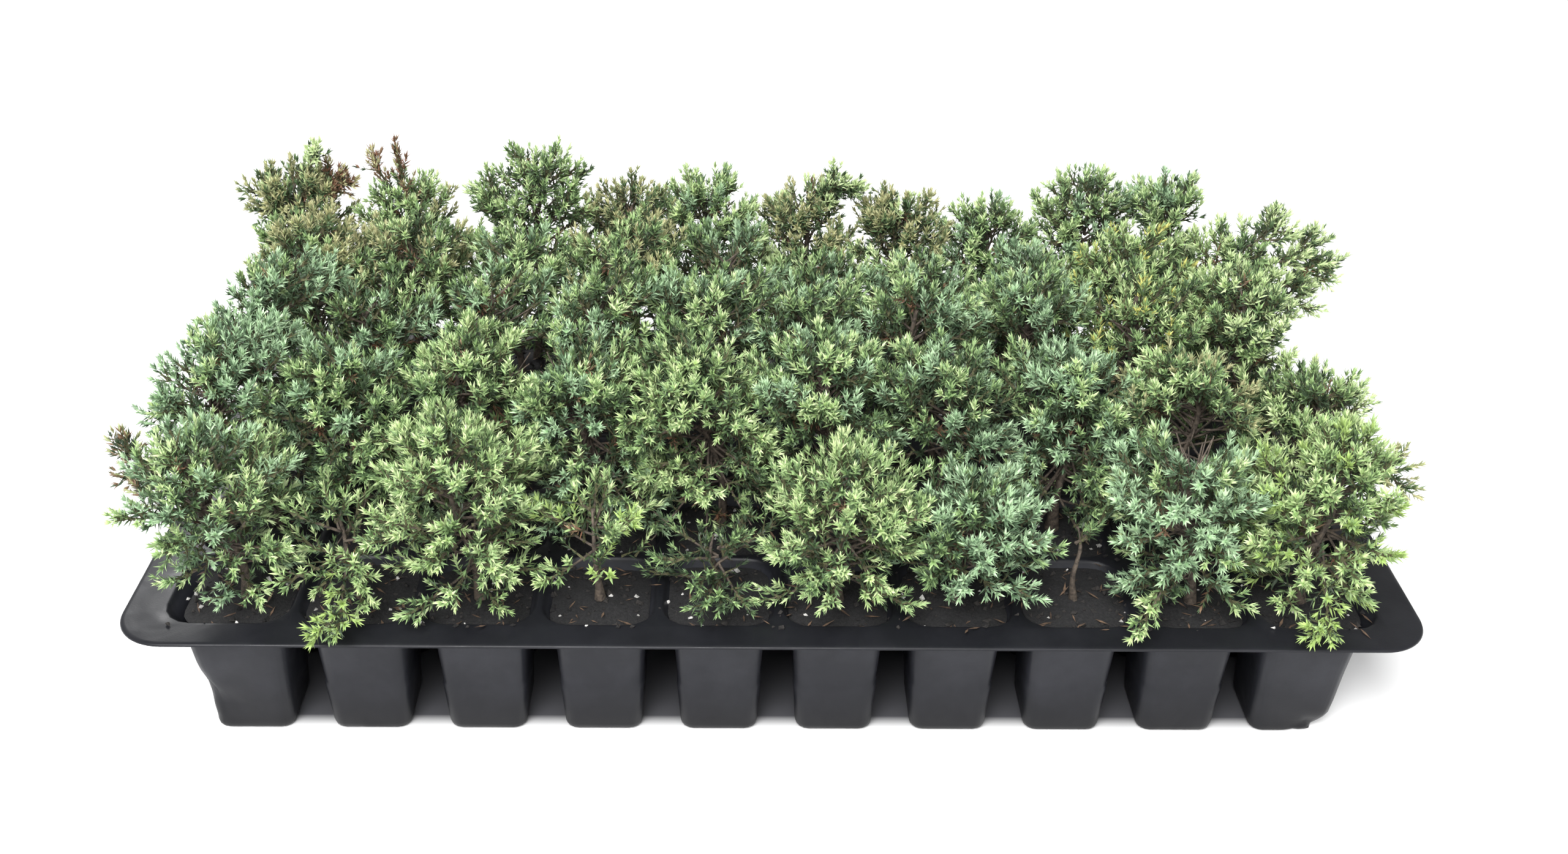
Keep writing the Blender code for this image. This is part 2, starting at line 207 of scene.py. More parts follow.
# Finer boughs that fill each crown between the solids' sprays and mingle with the next crown's
BACK_BOUGHS, EDGE_BOUGHS, SECOND_BOUGHS, INNER_BOUGHS, SPARSE_BOUGHS = 42, 34, 24, 11, 6
EDGE_SHARES, INNER_SHARES = (0.14, 0.78), (0.42, 0.78)
EDGE_POLAR, INNER_POLAR = (104, 34), (88, 34)
FILL_LENGTH = (0.66, 1.0)
BOUGH_SHORTEST = 7 * MM
BOUGH_MARGIN = 6 * MM
BOUGH_ACROSS = 5 * MM
BOUGH_CURVE = 0.10

# Canopy boughs, which spread their tips evenly under the mat's top
CANOPY_TIPS = 4
CANOPY_BELOW = (5 * MM, 17 * MM)
CANOPY_STEEP = (0.7, 1.5)
CANOPY_LOWEST = 0.24
MAT_DOME, BACK_DOME = 0.09, 0.15
HOLLOWS, HOLLOW_SIZE = 0.13, 36 * MM

# Second-row plants that lean over a sparse plant before them, with how far, and the lowest foliage there
LEANING = {(1, 1): 16 * MM, (1, 3): 24 * MM, (1, 4): 20 * MM, (1, 7): 18 * MM}
LEANING_LOWEST = 28 * MM
LEANING_BOUGHS = 18
LEANING_SHARES, LEANING_POLAR = (0.30, 0.80), (112, 58)

# Side boughs of a sprig
SPRIG_MARGIN = 10 * MM
SPRIG_SIDES = (0.42, 0.55, 0.67, 0.78, 0.88)
SPRIG_SIDE_LENGTH = (9 * MM, 14 * MM)
SPRIG_SIDE_ANGLE = math.radians(44)

# Shoots: crowded on the outer part of each bough
SHOOTS_PER_BOUGH, SHOOTS_FEWEST, SHOOTS_MORE_ON_SPRIG = 8.5, 4, 4
BOUGH_USUAL = 26 * MM
SHOOT_FIRST, SHOOT_FIRST_SPARSE = 0.34, 0.14
SHOOT_REACH = (6.5 * MM, 11 * MM)
SHOOT_CUT_SHORT = 0.62
SHOOT_SPREAD = (66, 22)
SHOOT_RISE, SHOOT_LIFT = 0.22, 0.30
SHOOT_SUNK = 1.2 * MM
SHOOT_BEYOND = 1 * MM
SHOOT_ACROSS = 13 * MM
SHOOT_OVER_DECK = 3.5 * MM
SPRIG_UNDER_DECK = 4 * MM

# Needles: whorls of three along a shoot and a star at its tip, with lengths in millimetres
WHORL_SPACING, DEEP_SPACING = 1.7 * MM, 3.3 * MM
WHORL_OPEN = (66, 40)
STAR_NEEDLES = 5
STAR_OPEN, ROSETTE_OPENING = (0.10, 0.52), 1.35
NEEDLE_LENGTH, ROSETTE_LENGTH = (3.7, 4.8), (4.1, 5.1)
NEEDLE_WIDTH = 0.125
ROSETTE_PLANTS = ((0, 6), (0, 8), (0, 9))

# Plants whose foliage starts well above the mix, with that level
BARE_FOOT = {(0, 3): 24 * MM, (0, 6): 16 * MM, (0, 7): 42 * MM}

# Hollows open to the front, where bare boughs show: centre, its height taken from the mix, and radius, in mm
BARE_PLACES = (((-118, -10, 84), 9), ((-112, 0, 56), 9), ((188, -38, 40), 12))


def new_object(name, data):
    """An object in the scene that holds some data."""
    obj = bpy.data.objects.new(name, data)
    bpy.context.scene.collection.objects.link(obj)
    return obj


def make_camera():
    """Looks down and slightly left on the tray, with a small tilt of the horizon."""
    data = bpy.data.cameras.new("camera")
    data.sensor_width = 36
    data.lens = CAMERA_LENS
    data.clip_start = 0.01
    camera = new_object("camera", data)
    place = Matrix.Translation(CAMERA_PLACE)
    for angle, axis in ((CAMERA_YAW, "Z"), (math.pi / 2 - CAMERA_PITCH, "X"), (CAMERA_ROLL, "Z")):
        place = place @ Matrix.Rotation(angle, 4, axis)
    camera.matrix_world = place
    bpy.context.scene.camera = camera


def linear(colour):
    """Linear light from a display colour of 0 to 255."""
    shares = [value / 255 for value in colour]
    return tuple(v / 12.92 if v <= 0.04045 else ((v + 0.055) / 1.055) ** 2.4 for v in shares)


def mesh_object(name, verts, faces, material, smooth=False):
    """An object from arrays: faces all with the same number of corners, or a list of tuples."""
    mesh = bpy.data.meshes.new(name)
    if isinstance(faces, np.ndarray):
        count, corners = faces.shape
        mesh.vertices.add(len(verts))
        mesh.vertices.foreach_set("co", np.ascontiguousarray(verts, np.float32).ravel())
        mesh.loops.add(count * corners)
        mesh.loops.foreach_set("vertex_index", faces.astype(np.int32).ravel())
        mesh.polygons.add(count)
        mesh.polygons.foreach_set("loop_start", np.arange(0, count * corners, corners, dtype=np.int32))
        mesh.update(calc_edges=True)
    else:
        mesh.from_pydata([tuple(v) for v in verts], [], faces)
    mesh.polygons.foreach_set("use_smooth", np.full(len(mesh.polygons), smooth))
    mesh.materials.append(material)
    return new_object(name, mesh)


def finish_piece(obj, nodes):
    """Fixes a piece to the part and the nodes that it replaces."""
    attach(obj, "root")
    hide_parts(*nodes)


# Materials


class Nodes:
    """A small helper for writing a material's node tree."""

    def __init__(self, name):
        self.material = bpy.data.materials.new(name)
        self.material.use_nodes = True
        self.tree = self.material.node_tree
        self.shader = self.tree.nodes["Principled BSDF"]

    def add(self, kind, inputs=None, **settings):
        """A node with its settings, and with outputs or values for its inputs."""
        node = self.tree.nodes.new(kind)
        for key, value in settings.items():
            setattr(node, key, value)
        for key, value in (inputs or {}).items():
            self.plug(value, node.inputs[key])
        return node

    def plug(self, value, socket):
        if isinstance(value, bpy.types.NodeSocket):
            self.tree.links.new(value, socket)
        elif socket.type == "RGBA":
            socket.default_value = (*value, 1)
        else:
            socket.default_value = value

    def noise(self, scale, detail=3.0, roughness=0.55, distortion=0.0):
        place = self.add("ShaderNodeTexCoord").outputs["Object"]
        inputs = {"Vector": place, "Scale": scale, "Detail": detail, "Roughness": roughness}
        inputs["Distortion"] = distortion
        return self.add("ShaderNodeTexNoise", inputs).outputs["Fac"]

    def height(self, top):
        """0 on the ground to 1 at a height."""
        place = self.add("ShaderNodeTexCoord").outputs["Object"]
        z = self.add("ShaderNodeSeparateXYZ", {"Vector": place}).outputs["Z"]
        return self.add("ShaderNodeMapRange", {"Value": z, "From Max": top}).outputs["Result"]

    def outside(self, half_x, half_y, soft):
        """0 inside an upright box to 1 outside it, with a soft edge."""
        place = self.add("ShaderNodeTexCoord").outputs["Object"]
        size = self.add("ShaderNodeVectorMath", {0: place}, operation="ABSOLUTE").outputs[0]
        half = (half_x, half_y, 0)
        over = self.add("ShaderNodeVectorMath", {0: size, 1: half}, operation="SUBTRACT").outputs[0]
        parts = self.add("ShaderNodeSeparateXYZ", {"Vector": over}).outputs
        most = self.add("ShaderNodeMath", {0: parts["X"], 1: parts["Y"]}, operation="MAXIMUM").outputs[0]
        limits = {"Value": most, "From Min": -soft, "From Max": soft}
        return self.add("ShaderNodeMapRange", limits).outputs["Result"]

    def ramp(self, factor, stops):
        """A colour or grey ramp through (position, value) stops."""
        node = self.add("ShaderNodeValToRGB", {"Fac": factor})
        elements = node.color_ramp.elements
        while len(elements) < len(stops):
            elements.new(0.5)
        for element, (position, value) in zip(elements, stops):
            element.position = position
            element.color = (*value, 1) if isinstance(value, tuple) else (value, value, value, 1)
        return node.outputs["Color"]

    def mix(self, factor, first, second):
        """A mix of two colours. The node's colour sockets are inputs 6 and 7 and output 2."""
        return self.add("ShaderNodeMix", {0: factor, 6: first, 7: second}, data_type="RGBA").outputs[2]

    def bump(self, height, strength, distance):
        inputs = {"Height": height, "Strength": strength, "Distance": distance}
        self.plug(self.add("ShaderNodeBump", inputs).outputs["Normal"], self.shader.inputs["Normal"])

    def set(self, **values):
        for key, value in values.items():
            self.plug(value, self.shader.inputs[key.replace("_", " ")])


def tray_material():
    """Thin black plastic with a soft gloss and patches of dust, with painted shade that makes it darker low
    down and on the deck.
    """
    nodes = Nodes("black_plastic")
    dust = nodes.ramp(nodes.noise(38, 5, 0.62), ((0.42, 0.0), (0.78, 1.0)))
    grain = nodes.noise(1500, 2, 0.5)
    upper = nodes.mix(dust, linear(PLASTIC), linear(PLASTIC_DUSTY))
    # Painted shade: the plastic darkens towards the ground and again on the deck, where the crowns shade it
    share = nodes.ramp(nodes.height(DECK), ((0.0, 0.0), (0.85, 1.0), (0.95, 1.0), (0.99, 0.34)))
    colour = nodes.mix(share, linear(PLASTIC_PAINTED_SHADE), upper)
    patches = nodes.ramp(nodes.noise(30, 3, 0.5, 1.2), ((0.40, 0.34), (0.62, 0.50)))
    nodes.set(Base_Color=colour, Roughness=patches, Specular_IOR_Level=0.22)
    nodes.bump(grain, 0.12, 0.0002)
    return nodes.material


def mix_material():
    """Moist dark potting mix: fine and fibrous, nearly black with brown and grey specks."""
    nodes = Nodes("potting_mix")
    base = nodes.ramp(nodes.noise(900, 4, 0.7), ((0.3, linear(MIX_DARK)), (0.75, linear(MIX_LIGHT))))
    nodes.set(Base_Color=base, Roughness=0.9)
    nodes.bump(nodes.noise(700, 5, 0.7), 0.8, 0.0012)
    return nodes.material


def loose_material(name):
    """Crumbs, perlite or dead needles, each a little uneven in colour."""
    dark, light, roughness = LOOSE[name]
    nodes = Nodes(name)
    colour = nodes.ramp(nodes.noise(260, 2), ((0.35, linear(dark)), (0.65, linear(light))))
    nodes.set(Base_Color=colour, Roughness=roughness)
    nodes.bump(nodes.noise(2500, 2), 0.5, 0.0003)
    return nodes.material


def bark_material(name):
    """Thin bark with fine ridges."""
    dark, light = BARKS[name]
    nodes = Nodes(name)
    ridges = nodes.noise(420, 5, 0.65, 0.4)
    colour = nodes.ramp(ridges, ((0.34, linear(dark)), (0.68, linear(light))))
    nodes.set(Base_Color=colour, Roughness=0.82)
    nodes.bump(ridges, 0.7, 0.0008)
    return nodes.material


# Needle kinds as display colours. The deep kind is painted shade: dark needles for the inside of the crowns,
# where shade falls
NEEDLES = {
    "deep": (58, 73, 52),
    "blue_dark": (96, 121, 92),
    "blue": (148, 175, 139),
    "blue_light": (178, 205, 165),
    "green_dark": (96, 120, 82),
    "green": (151, 178, 122),
    "green_light": (198, 216, 162),
    "fresh_dark": (102, 126, 82),
    "fresh": (154, 180, 122),
    "fresh_light": (196, 213, 158),
    "lime": (164, 188, 114),
    "gold": (198, 196, 116),
    "olive": (156, 163, 118),
    "tan": (186, 184, 140),
    "bronze": (128, 104, 82),
    "dead": (132, 96, 76),
}


def needle_material(kind):
    """Waxy needles, each a little lighter or darker than the next."""
    nodes = Nodes(f"needles_{kind}")
    colour = linear(NEEDLES[kind])
    island = nodes.add("ShaderNodeNewGeometry").outputs["Random Per Island"]
    darker = tuple(v * 0.70 for v in colour)
    lighter = tuple(min(v * 1.25, 0.92) for v in colour)
    nodes.set(Base_Color=nodes.mix(island, darker, lighter), Roughness=0.46, Specular_IOR_Level=0.4)
    return nodes.material


# Tray


def rounded_square(half, radius):
    """Points counterclockwise round a square with round corners."""
    quarter = []
    flat = half - radius
    for i in range(SIDE_POINTS):
        quarter.append((half, -flat + 2 * flat * (i + 1) / (SIDE_POINTS + 1)))
    for i in range(CORNER_POINTS):
        angle = i / (CORNER_POINTS - 1) * math.pi / 2
        quarter.append((flat + radius * math.cos(angle), flat + radius * math.sin(angle)))
    points = np.array(quarter)
    turned = [points]
    for _ in range(3):
        points = np.stack((-points[:, 1], points[:, 0]), axis=1)
        turned.append(points)
    return np.concatenate(turned)


def cell_centre(row, column):
    return Vector(((column - (COLUMNS - 1) / 2) * PITCH, (row - (ROWS - 1) / 2) * PITCH, 0))


def all_cells():
    return [(row, column) for row in range(ROWS) for column in range(COLUMNS)]


def seeded(first, row, column):
    """A plant's own run of random draws."""
    return random.Random(first + row * COLUMNS + column)


def profile_at(depth):
    """Half width and corner radius of a cell at a depth below the deck."""
    depths, halves, radii = np.array(CELL_PROFILE).T * MM
    return np.interp(depth, depths, halves), np.interp(depth, depths, radii)


def flared(point, centre, side):
    """A point of an end cell, moved out on the cell's outer side, most at the deck."""
    share = min(max((point[0] - centre.x) * side / (10 * MM), 0), 1)
    return point[0] + side * share * END_FLARE * point[2] / DECK, point[1], point[2]


def dent(point, centre, side):
    """How far the crushed corner of an end cell is pushed in, at a point of its wall."""
    middle, reach, depth = CRUSHED[side]
    near = 1 - eased(abs(point.z - middle + 0.25 * (point.x - centre.x) * side) / reach)
    outward = eased(((point.x - centre.x) * side + 6 * MM) / (20 * MM))
    front = eased((centre.y - point.y + 8 * MM) / (18 * MM))
    place = Vector((point.x * 1.6, point.y, point.z - 0.5 * point.x * side))
    folds = 1 - abs(noise.noise(place * 75)) * 3
    return near * outward * front * (0.35 + 0.65 * max(folds, 0)) * depth


def crease(bm, faces, centre, side):
    """Gives the lower walls of a crushed end cell finer faces, and dents them."""
    low = [face for face in faces if face.calc_center_median().z < CREASE_TOP]
    edges = list(dict.fromkeys(edge for face in low for edge in face.edges))
    bmesh.ops.subdivide_edges(bm, edges=edges, cuts=CREASE_CUTS, use_grid_fill=True)
    half = PITCH / 2
    for vert in bm.verts:
        in_cell = abs(vert.co.x - centre.x) < half + 2 * MM and abs(vert.co.y - centre.y) < half
        if in_cell and vert.co.z < DECK:
            push = dent(vert.co, centre, side)
            vert.co.x -= side * push
            vert.co.y += 1.2 * push


def rim_loop(inset, z):
    """The rim's outline, moved in by an inset, with the notch in each end."""
    points = []
    corner = RIM_CORNER - inset
    for turn, (side_x, side_y) in enumerate(((-1, -1), (1, -1), (1, 1), (-1, 1))):
        x, y = side_x * (HALF_LENGTH - RIM_CORNER), side_y * (HALF_WIDTH - RIM_CORNER)
        for step in range(RIM_CORNER_STEPS + 1):
            angle = math.pi + (turn + step / RIM_CORNER_STEPS) * math.pi / 2
            points.append((x + corner * math.cos(angle), y + corner * math.sin(angle), z))
        if turn in (0, 2):
            x, y, _ = points[-1]
            points += [(x * (1 - 2 * i / RIM_LONG_STEPS), y, z) for i in range(1, RIM_LONG_STEPS)]
        else:
            notch = NOTCH if turn == 1 else NOTCH[::-1]
            end = HALF_LENGTH - inset
            points += [(side_x * (end - deep), along - HALF_WIDTH, z) for deep, along in notch]
    return points


def cell_rings(bm, centre, side, crushed):
    """Rings of vertices from a cell's square of the deck down to its bottom."""
    mouth = rounded_square(CELL_PROFILE[0][1] * MM, CELL_PROFILE[0][2] * MM)
    border = mouth / np.abs(mouth).max(axis=1, keepdims=True) * PITCH / 2
    loops = [[(centre.x + x, centre.y + y, DECK) for x, y in border]]
    for depth, half, radius in CELL_PROFILE:
        if depth not in (LEDGE if crushed else CRUSHED_ONLY):
            outline = rounded_square(half * MM, radius * MM)
            loops.append([(centre.x + x, centre.y + y, DECK - depth * MM) for x, y in outline])
    if side:
        loops = [[flared(point, centre, side) for point in loop] for loop in loops]
    return [[bm.verts.new(point) for point in loop] for loop in loops]


def join_rings(bm, rings):
    """Bands of faces from each ring of vertices to the next."""
    faces = []
    for upper, lower in zip(rings, rings[1:]):
        for i in range(len(upper)):
            j = (i + 1) % len(upper)
            faces.append(bm.faces.new((upper[i], upper[j], lower[j], lower[i])))
    return faces


def add_cell(bm, row, column):
    centre = cell_centre(row, column)
    side = (column == COLUMNS - 1) - (column == 0)
    crushed = bool(side) and row == 0
    rings = cell_rings(bm, centre, side, crushed)
    walls = join_rings(bm, rings)
    bm.faces.new(rings[-1])
    if crushed:
        crease(bm, walls, centre, side)


def add_rim(bm):
    """The deck round the cells, and the rim's rounded edge."""
    inner = [edge for edge in bm.edges if edge.is_boundary]
    loops = [rim_loop(inset * MM, DECK - drop * MM) for inset, drop in RIM_PROFILE]
    rims = [[bm.verts.new(point) for point in loop] for loop in loops]
    first = rims[0]
    outer = [bm.edges.new((vert, first[(i + 1) % len(first)])) for i, vert in enumerate(first)]
    bmesh.ops.triangle_fill(bm, use_beauty=True, edges=inner + outer)
    join_rings(bm, rims)


def build_tray(material):
    """The moulded sheet: one skin of cells and rim, made as thick as the sheet."""
    bm = bmesh.new()
    for row, column in all_cells():
        add_cell(bm, row, column)
    bmesh.ops.remove_doubles(bm, verts=bm.verts, dist=1e-5)
    add_rim(bm)
    bmesh.ops.recalc_face_normals(bm, faces=bm.faces)
    top = max(bm.faces, key=lambda face: face.calc_center_median().z)
    if top.normal.z < 0:
        bmesh.ops.reverse_faces(bm, faces=bm.faces)
    mesh = bpy.data.meshes.new("tray")
    bm.to_mesh(mesh)
    bm.free()
    mesh.materials.append(material)
    tray = new_object("tray", mesh)
    thickness = tray.modifiers.new("Sheet", "SOLIDIFY")
    thickness.thickness = SHEET
    thickness.offset = -1
    mesh.shade_smooth()
    mesh.set_sharp_from_angle(angle=math.radians(48))
    finish_piece(tray, ["plug_tray"])


# Potting mix


def mix_depth(row, column):
    """Depth of the mix below the deck at a cell's wall."""
    return seeded(4000, row, column).uniform(2.2, 4.6) * MM


def mix_height(x, y):
    """Height of the mix at a place in a cell, heaped round the plant's foot."""
    column = min(max(round(x / PITCH + (COLUMNS - 1) / 2), 0), COLUMNS - 1)
    row = min(max(round(y / PITCH + (ROWS - 1) / 2), 0), ROWS - 1)
    centre = cell_centre(row, column)
    out = min(math.hypot(x - centre.x, y - centre.y) / (20 * MM), 1)
    lumps = noise.noise(Vector((x, y, 0.3)) * 190) + 0.6 * noise.noise(Vector((x, y, 0.9)) * 520)
    return DECK - mix_depth(row, column) + MIX_HEAP * (1 - out * out) + MIX_ROUGH * lumps


def build_mix(material):
    """The top of the mix in each cell, as rings round the plant's foot."""
    verts, faces = [], []
    for row, column in all_cells():
        centre = cell_centre(row, column)
        depth = mix_depth(row, column)
        half, radius = profile_at(depth)
        outline = rounded_square(half - MIX_INSET, radius)
        first = len(verts)
        count = len(outline)
        edge = DECK - depth - 0.4 * MM
        for ring in range(MIX_RINGS):
            for x, y in outline * (1 - ring / MIX_RINGS):
                place = (centre.x + x, centre.y + y)
                verts.append((*place, edge if ring == 0 else mix_height(*place)))
        verts.append((centre.x, centre.y, mix_height(centre.x, centre.y)))
        for ring in range(MIX_RINGS - 1):
            a, b = first + ring * count, first + (ring + 1) * count
            faces += [(a + i, a + (i + 1) % count, b + (i + 1) % count, b + i) for i in range(count)]
        last = first + (MIX_RINGS - 1) * count
        faces += [(last + i, last + (i + 1) % count, last + count) for i in range(count)]
    finish_piece(mesh_object("mix", verts, faces, material, smooth=True), ["potting_mix"])


def scattered_places(draw, count, spill):
    """Places on the mix and, for a share of them, on the webs and the deck by the cells."""
    places = []
    while len(places) < count:
        x = draw.uniform(-0.249, 0.249)
        y = draw.uniform(-0.126, 0.126)
        centre_x = (round(x / PITCH - 0.5) + 0.5) * PITCH
        centre_y = round(y / PITCH) * PITCH
        off = max(abs(x - centre_x), abs(y - centre_y))
        if off < 20.5 * MM:
            places.append((x, y, mix_height(x, y)))
        elif draw.random() < spill:
            places.append((x, y, DECK + 0.2 * MM if off > 23.4 * MM else mix_height(x, y)))
    return places


def repeated(triangles, count):
    """The triangles of many small forms that follow one another."""
    corners = triangles.max() + 1
    return (np.arange(count)[:, None, None] * corners + triangles).reshape(-1, 3)


def build_crumbs(name, count, sizes, spill, seed):
    """Loose lumps: octahedra with every corner shifted."""
    draw = random.Random(seed)
    places = np.array(scattered_places(draw, count, spill))
    rng = np.random.default_rng(seed)
    corners = np.array(((1, 0, 0), (-1, 0, 0), (0, 1, 0), (0, -1, 0), (0, 0, 1), (0, 0, -1)), float)
    shape = corners[None] * rng.uniform(0.55, 1.25, (count, 6, 1)) + rng.normal(0, 0.16, (count, 6, 3))
    radii = rng.uniform(*sizes, count) * MM
    turn = rng.uniform(0, 2 * np.pi, count)
    cos, sin = np.cos(turn)[:, None], np.sin(turn)[:, None]
    x = shape[:, :, 0] * cos - shape[:, :, 1] * sin
    y = shape[:, :, 0] * sin + shape[:, :, 1] * cos
    shape = np.stack((x, y * rng.uniform(0.5, 1, (count, 1)), shape[:, :, 2]), axis=2)
    verts = places[:, None] + shape * radii[:, None, None] + UP * (radii * 0.35)[:, None, None]
    faces = repeated(OCTAHEDRON, count)
    lumps = mesh_object(name, verts.reshape(-1, 3), faces, loose_material(name))
    finish_piece(lumps, ["potting_mix"])


# Growth, by the same rule as the solids

JUNIPERS = [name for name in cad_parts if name.startswith("juniper")]
STEMS = [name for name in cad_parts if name.startswith("stem")]


def between(first, last, share):
    return first + (last - first) * share


def eased(value):
    """A smooth step from 0 to 1."""
    value = min(max(value, 0.0), 1.0)
    return value * value * (3 - 2 * value)


def rise_at(z):
    """Height above the mix as a share of the tallest crown's."""
    return min(max((z - MIX_TOP) / TALLEST, 0.0), 1.0)


def crown_height(row, column):
    if row in TOPS:
        return TOPS[row][column] * MM
    variation = seeded(700, row, column).uniform(-1, 1)
    return MIDDLE_TOP + variation * MIDDLE_TOP_VARIATION


HEIGHTS = {(row, column): crown_height(row, column) for row, column in all_cells()}
BORDER_SHIFT = {
    (row, index): seeded(300, row, index).uniform(-1, 1) * BORDER_JITTER
    for row in range(ROWS) for index in range(1, COLUMNS)
}


def side_reach(reach, z):
    """How far out the mat's end goes at a height, from its widest place and its top."""
    widest, top = reach
    rise = rise_at(z)
    out = between(SIDE_LOW, widest * MM, eased(rise / SPREAD_RISE))
    return out + (top - widest) * MM * eased((rise - SPREAD_RISE) / (1 - SPREAD_RISE))


def border_x(row, index, z):
    """Where the border before a column's crown stands at a height. The last one is the right end."""
    if index == 0:
        return -side_reach(LEFT_REACH[row], z)
    if index == COLUMNS:
        return side_reach(RIGHT_REACH[row], z)
    at_deck = (index - COLUMNS / 2) * PITCH
    if row in BORDERS:
        spread_out = BORDERS[row][index - 1] * MM
    else:
        left, right = -side_reach(LEFT_REACH[row], z), side_reach(RIGHT_REACH[row], z)
        spread_out = left + (right - left) * index / COLUMNS + BORDER_SHIFT[row, index]
    return between(at_deck, spread_out, eased(rise_at(z) / SPREAD_RISE))


def border_y(index, z):
    if index in (0, ROWS):
        reach = between(*END_REACH, eased(rise_at(z) / SPREAD_RISE))
        return -reach if index == 0 else reach
    return (index - ROWS / 2) * PITCH * (1 + FAN_Y * rise_at(z))


def room_middle(row, column, z):
    x = (border_x(row, column, z) + border_x(row, column + 1, z)) / 2
    y = (border_y(row, z) + border_y(row + 1, z)) / 2
    return Vector((x, y, z))


def leader_point(row, column, share):
    return room_middle(row, column, MIX_TOP + CLEARANCE + share * (HEIGHTS[row, column] - CLEARANCE))


def dome_top(row, column, point, dome):
    """Height of the dome that ends a crown, over a point."""
    away = (point - room_middle(row, column, point.z)).length / (PITCH / 2)
    return MIX_TOP + HEIGHTS[row, column] * (1 - dome * away * away)


def mat_top(row, column, point):
    """The top of the grown mat: flatter than the solids' domes, with shallow hollows inside the mat."""
    if row == ROWS - 1:
        return dome_top(row, column, point, BACK_DOME)
    top = dome_top(row, column, point, MAT_DOME)
    hollow = max(noise.noise(Vector((point.x, point.y, 0.2)) / HOLLOW_SIZE), 0)
    return MIX_TOP + (top - MIX_TOP) * (1 - HOLLOWS * min(2.2 * hollow, 1))


def in_gap(row, column, point):
    """True in the open gap under the arched plant of the back row."""
    across = GAP_ACROSS[0] < point.x < GAP_ACROSS[1]
    return (row, column) == GAP_PLANT and across and GAP_RISE[0] < point.z - MIX_TOP < GAP_RISE[1]


def room_sides(row, column, z, gap, across):
    """Left, right, front and back of a room, a gap inside the mat's sides and so far across its borders."""
    left = border_x(row, column, z) + (gap if column == 0 else -across)
    right = border_x(row, column + 1, z) - (gap if column == COLUMNS - 1 else -across)
    front = border_y(row, z) + (gap if row == 0 else -across)
    back = border_y(row + 1, z) - (gap if row == ROWS - 1 else -across)
    return left, right, front, back


def fits(row, column, point, gap, across):
    """True where a point is a gap inside the mat's top and sides, and not too far across a border."""
    x, y, z = point
    if not MIX_TOP <= z <= mat_top(row, column, point) - gap or in_gap(row, column, point):
        return False
    left, right, front, back = room_sides(row, column, z, gap, across)
    return left <= x <= right and front - LEANING.get((row, column), 0) <= y <= back


def direction(polar, around):
    """A unit vector from its angle off the vertical and its turn round it."""
    return Vector((math.sin(polar) * math.cos(around), math.sin(polar) * math.sin(around), math.cos(polar)))


def spray_starts(row, column):
    """The solids' own sprays."""
    draw = seeded(900, row, column)
    phase = draw.uniform(0, 2 * math.pi)
    count = SPARSE_SPRAYS if (row, column) in SPARSE_PLANTS else SPRAYS
    for i in range(count):
        climb = i / (count - 1)
        polar = math.radians(between(*SPRAY_POLAR, climb) + draw.uniform(-8, 8))
        start = leader_point(row, column, between(*SPRAY_SHARES, climb))
        yield start, direction(polar, phase + i * GOLDEN_ANGLE)
    outward_x = (column == COLUMNS - 1) - (column == 0)
    outward_y = (row == ROWS - 1) - (row == 0)
    if outward_x or outward_y:
        outward = math.atan2(outward_y, outward_x)
        for i in range(SKIRT_SPRAYS):
            around = outward + (i - (SKIRT_SPRAYS - 1) / 2) * SKIRT_SPREAD + draw.uniform(-0.15, 0.15)
            polar = math.radians(draw.uniform(*SKIRT_POLAR))
            yield leader_point(row, column, SKIRT_RISE), direction(polar, around)


def fill_starts(row, column):
    """Finer boughs from low on the leader to near its top, level at first and then more and more upright."""
    draw = seeded(1300, row, column)
    phase = draw.uniform(0, 2 * math.pi)
    at_edge = row in (0, ROWS - 1) or column in (0, COLUMNS - 1) or (row, column) in LEANING
    shares, polars = (EDGE_SHARES, EDGE_POLAR) if at_edge else (INNER_SHARES, INNER_POLAR)
    count = EDGE_BOUGHS if at_edge else SECOND_BOUGHS if row == 1 else INNER_BOUGHS
    count = BACK_BOUGHS if row == ROWS - 1 else count
    count = SPARSE_BOUGHS if (row, column) in SPARSE_PLANTS else count
    for i in range(count):
        climb = (i + 0.5) / count
        share = between(*shares, climb) + draw.uniform(-0.03, 0.03)
        polar = between(*polars, climb ** 1.5) + draw.uniform(-7, 7)
        around = phase + i * GOLDEN_ANGLE + draw.uniform(-0.25, 0.25)
        yield leader_point(row, column, share), direction(math.radians(polar), around)


def leaning_starts(row, column):
    """Boughs of a second-row plant that reach forward over the sparse plant before it."""
    draw = seeded(1900, row, column)
    for i in range(LEANING_BOUGHS):
        climb = (i + 0.5) / LEANING_BOUGHS
        polar = between(*LEANING_POLAR, climb) + draw.uniform(-8, 8)
        around = -math.pi / 2 + draw.uniform(-1.0, 1.0)
        start = leader_point(row, column, between(*LEANING_SHARES, climb))
        yield start, direction(math.radians(polar), around)


def longest_fit(row, column, start, way):
    """Length of the longest bough that stays inside its plant's room."""
    step = 1.5 * MM
    length = step
    while fits(row, column, start + way * (length + step), BOUGH_MARGIN, BOUGH_ACROSS):
        length += step
    return length


